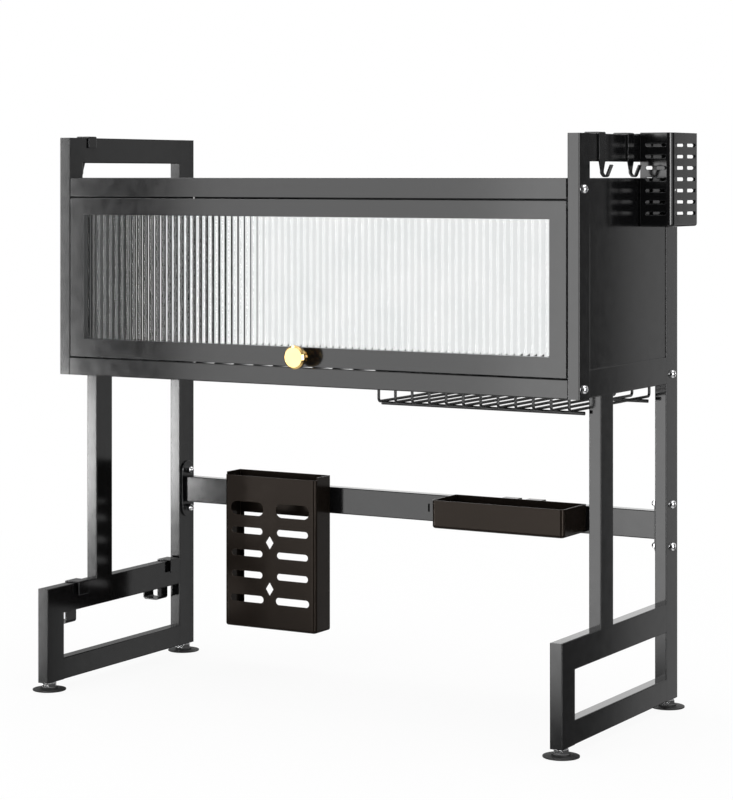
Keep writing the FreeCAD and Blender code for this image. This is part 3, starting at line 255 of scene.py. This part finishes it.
# Door glass: width of a flute in metres, its lean at the grooves, and the faces across it
FLUTE_PITCH = 0.0105
FLUTE_SLOPE = math.radians(28)
FLUTE_STEPS = 12


def reeded_panel():
    """The door's glass with rounded upright flutes on its outer face.

    A column is a pair of points, at the bottom and the top of the pane. Each flute is an arc
    of FLUTE_STEPS columns that leans by FLUTE_SLOPE at the sharp grooves on its two sides.
    """
    low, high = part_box("door_glass")
    width = high.x - low.x
    count = round(width / FLUTE_PITCH)
    pitch = width / count
    radius = pitch / 2 / math.sin(FLUTE_SLOPE)
    depth = radius * (1 - math.cos(FLUTE_SLOPE))
    shape = bmesh.new()

    def column(across, front):
        return [shape.verts.new((across, front, level)) for level in (low.z, high.z)]

    columns = []
    for step in range(count * FLUTE_STEPS + 1):
        turn = (step % FLUTE_STEPS) / FLUTE_STEPS * 2 - 1
        rise = math.sqrt(radius ** 2 - (turn * pitch / 2) ** 2) - (radius - depth)
        columns.append(column(low.x + pitch * step / FLUTE_STEPS, low.y + depth - rise))
    for one, two in zip(columns, columns[1:]):
        shape.faces.new((one[0], one[1], two[1], two[0])).smooth = True
    for groove in columns[::FLUTE_STEPS]:
        shape.edges.get(groove).smooth = False
    left, right = column(low.x, high.y), column(high.x, high.y)
    shape.faces.new((left[0], right[0], right[1], left[1]))
    shape.faces.new((left[1], columns[0][1], columns[0][0], left[0]))
    shape.faces.new((right[0], columns[-1][0], columns[-1][1], right[1]))
    shape.faces.new([left[0]] + [pair[0] for pair in columns] + [right[0]])
    shape.faces.new([right[1]] + [pair[1] for pair in reversed(columns)] + [left[1]])
    bmesh.ops.recalc_face_normals(shape, faces=shape.faces)

    mesh = bpy.data.meshes.new("reeded_glass_panel")
    shape.to_mesh(mesh)
    shape.free()
    mesh.materials.append(MATERIALS["reeded_glass"])
    panel = bpy.data.objects.new("reeded_glass_panel", mesh)
    bpy.context.scene.collection.objects.link(panel)
    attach(panel, "door")
    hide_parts("door_glass")


# Camera: level, with the photograph's horizon and focal length in its own pixels
CAMERA_PLACE = (1.7945, -3.0651, 0.7550)
CAMERA_LEVEL, CAMERA_TURN = 90, 30.166
CAMERA_FAR = 100
FOCAL_PIXELS = 2458.3
HORIZON_PIXEL = 176.1
PHOTO_HEIGHT = 800
SENSOR = 36.0


def make_camera():
    """The photograph's camera; the shift brings its high horizon to its place."""
    data = bpy.data.cameras.new("camera")
    camera = bpy.data.objects.new("camera", data)
    bpy.context.scene.collection.objects.link(camera)
    data.sensor_width = SENSOR
    data.lens = FOCAL_PIXELS * SENSOR / PHOTO_HEIGHT
    data.shift_y = (HORIZON_PIXEL - PHOTO_HEIGHT / 2) / PHOTO_HEIGHT
    data.clip_end = CAMERA_FAR
    camera.location = CAMERA_PLACE
    camera.rotation_euler = (math.radians(CAMERA_LEVEL), 0, math.radians(CAMERA_TURN))
    bpy.context.scene.camera = camera


# Lamps: place, target, width and height, all in metres, and brightness, where 1 looks white
LAMPS = {
    "softbox_wide": ((-1.26, -3.0, 0.5), (-1.26, 0, 0.5), (1.9, 2.2), 2.75),
    "softbox_near": ((-0.65, -2.95, 0.55), (-0.65, 0, 0.55), (0.95, 2.1), 1.45),
    "strip_left": ((-2.88, -2.95, 0.3), (-2.88, 0, 0.3), (0.5, 2.0), 12.0),
    "patch_low": ((-2.8, -2.9, -0.06), (-2.8, 0, -0.06), (0.44, 0.4), 34.0),
    "rear": ((1.15, 2.2, 0.3), (1.15, 0, 0.3), (0.5, 2.0), 0.52),
    "right_edge": ((2.9, -1.5, 0.5), (0.3, 0, 0.5), (1.2, 2.2), 9.0),
    "top": ((0.1, 0.2, 2.6), (0, 0, 0.4), (2.4, 1.8), 2.0),
    "top_edge": ((-1.3, -0.4, 2.4), (0, 0, 0.5), (1.0, 0.5), 8.0),
    "side_fill": ((4.0, -0.2, 0.9), (0, -0.2, 0.9), (2.6, 2.4), 1.0),
    "back_fill": ((-0.8, 4.0, 0.9), (-0.8, 0, 0.9), (4.4, 2.4), 1.0),
}
# These only show as gleams and give the object no plain light.
GLEAMS = ("strip_left", "patch_low", "right_edge", "top_edge", "side_fill", "back_fill")


def make_lights():
    """The lamps as area lights that show only as light and reflections."""
    for name, (place, target, (width, height), brightness) in LAMPS.items():
        data = bpy.data.lights.new(name, "AREA")
        data.shape = "RECTANGLE"
        data.size, data.size_y = width, height
        data.energy = brightness * math.pi * width * height
        lamp = bpy.data.objects.new(name, data)
        lamp.location = place
        aim = Vector(target) - Vector(place)
        lamp.rotation_euler = aim.to_track_quat("-Z", "Y").to_euler()
        lamp.visible_camera = False
        lamp.visible_transmission = False
        lamp.visible_diffuse = name not in GLEAMS
        bpy.context.scene.collection.objects.link(lamp)


def seen_directly(tree, path):
    """1 for what the camera sees, straight or through glass."""
    rays = path.outputs["Is Camera Ray"], path.outputs["Is Transmission Ray"]
    return maths(tree, "MAXIMUM", *rays)


# Floor: half its side and its drop below the feet, in metres
FLOOR_HALF = 30
FLOOR_DROP = 0.0004
FLOOR_GREY, FLOOR_ROUGH = 0.9, 0.9
# Share of plain white in the floor up to SHADOW_NEAR metres from the middle of the object,
# so that its shadow shows. From there the share rises to 1 at SHADOW_FAR.
FLOOR_WHITE = 0.92
SHADOW_NEAR, SHADOW_FAR = 0.6, 1.8


def white_floor():
    """A pale floor that the camera sees as white, apart from the object's shadow.

    Mirrored rays go through it, so that it doesn't grey the black coat.
    """
    half = FLOOR_HALF
    mesh = bpy.data.meshes.new("floor")
    corners = [(-half, -half, 0), (half, -half, 0), (half, half, 0), (-half, half, 0)]
    mesh.from_pydata(corners, [], [(0, 1, 2, 3)])
    floor = bpy.data.objects.new("floor", mesh)
    floor.location.z = -FLOOR_DROP
    bpy.context.scene.collection.objects.link(floor)
    material, tree, shader = new_material("floor")
    shader.inputs["Base Color"].default_value = (FLOOR_GREY, FLOOR_GREY, FLOOR_GREY, 1)
    shader.inputs["Roughness"].default_value = FLOOR_ROUGH
    place = add_node(tree, "TexCoord").outputs["Object"]
    away = add_node(tree, "VectorMath", {0: place}, operation="LENGTH").outputs["Value"]
    white_share = map_range(tree, away, SHADOW_NEAR, SHADOW_FAR, low=FLOOR_WHITE)
    path = add_node(tree, "LightPath")
    share = maths(tree, "MULTIPLY", seen_directly(tree, path), white_share)
    rays = path.outputs["Is Glossy Ray"], path.outputs["Is Transmission Ray"]
    mirrored = maths(tree, "GREATER_THAN", *rays)
    white = add_node(tree, "Emission", {"Color": (1, 1, 1, 1), "Strength": 1.0}).outputs[0]
    clear = add_node(tree, "BsdfTransparent").outputs[0]
    blend = add_node(tree, "MixShader", {0: share, 1: shader.outputs[0], 2: white}).outputs[0]
    blend = add_node(tree, "MixShader", {0: mirrored, 1: blend, 2: clear}).outputs[0]
    tree.links.new(blend, tree.nodes["Material Output"].inputs["Surface"])
    mesh.materials.append(material)


# World: the way to the backdrop, and between which values each part of the sky fades in.
# The first pair is how well a ray agrees with that way, the others are the ray's rise.
BACKDROP_WAY = (-0.75, 0.66, 0.0)
BEHIND, ABOVE, BELOW = (0.55, 0.95), (0.3, 0.95), (-0.45, -0.9)
# How strongly these parts glow in a reflection, and how bright it is elsewhere
BEHIND_GLOW, BELOW_GLOW = 0.3, 0.7
DARKEST_MIRROR = 0.06
# Light that the world gives to plain surfaces
PLAIN_LIGHT = 0.75


def white_world():
    """White where the camera sees it, and glowing behind, above and below in reflections."""
    world = bpy.data.worlds.new("studio")
    bpy.context.scene.world = world
    world.use_nodes = True
    world.cycles.sampling_method = "NONE"
    tree = world.node_tree
    path = add_node(tree, "LightPath")
    way = add_node(tree, "TexCoord").outputs["Generated"]
    towards = add_node(tree, "VectorMath", {0: way, 1: BACKDROP_WAY}, operation="DOT_PRODUCT")
    behind = map_range(tree, towards.outputs["Value"], *BEHIND, high=BEHIND_GLOW,
                       interpolation_type="SMOOTHSTEP")
    level = add_node(tree, "SeparateXYZ", {0: way}).outputs["Z"]
    above = map_range(tree, level, *ABOVE)
    below = maths(tree, "MULTIPLY", map_range(tree, level, *BELOW), BELOW_GLOW)
    glow = maths(tree, "MAXIMUM", maths(tree, "MAXIMUM", behind, above), below)
    mirror = map_range(tree, glow, 0.0, 1.0, low=DARKEST_MIRROR)
    links = {0: path.outputs["Is Glossy Ray"], 2: PLAIN_LIGHT, 3: mirror}
    unseen = add_node(tree, "Mix", links).outputs[0]
    links = {0: seen_directly(tree, path), 2: unseen, 3: 1.0}
    strength = add_node(tree, "Mix", links).outputs[0]
    background = tree.nodes["Background"]
    background.inputs["Color"].default_value = (1, 1, 1, 1)
    tree.links.new(strength, background.inputs["Strength"])


bpy.context.scene.view_settings.view_transform = "Standard"
dress_nodes()
reeded_panel()
make_camera()
white_floor()
white_world()
make_lights()
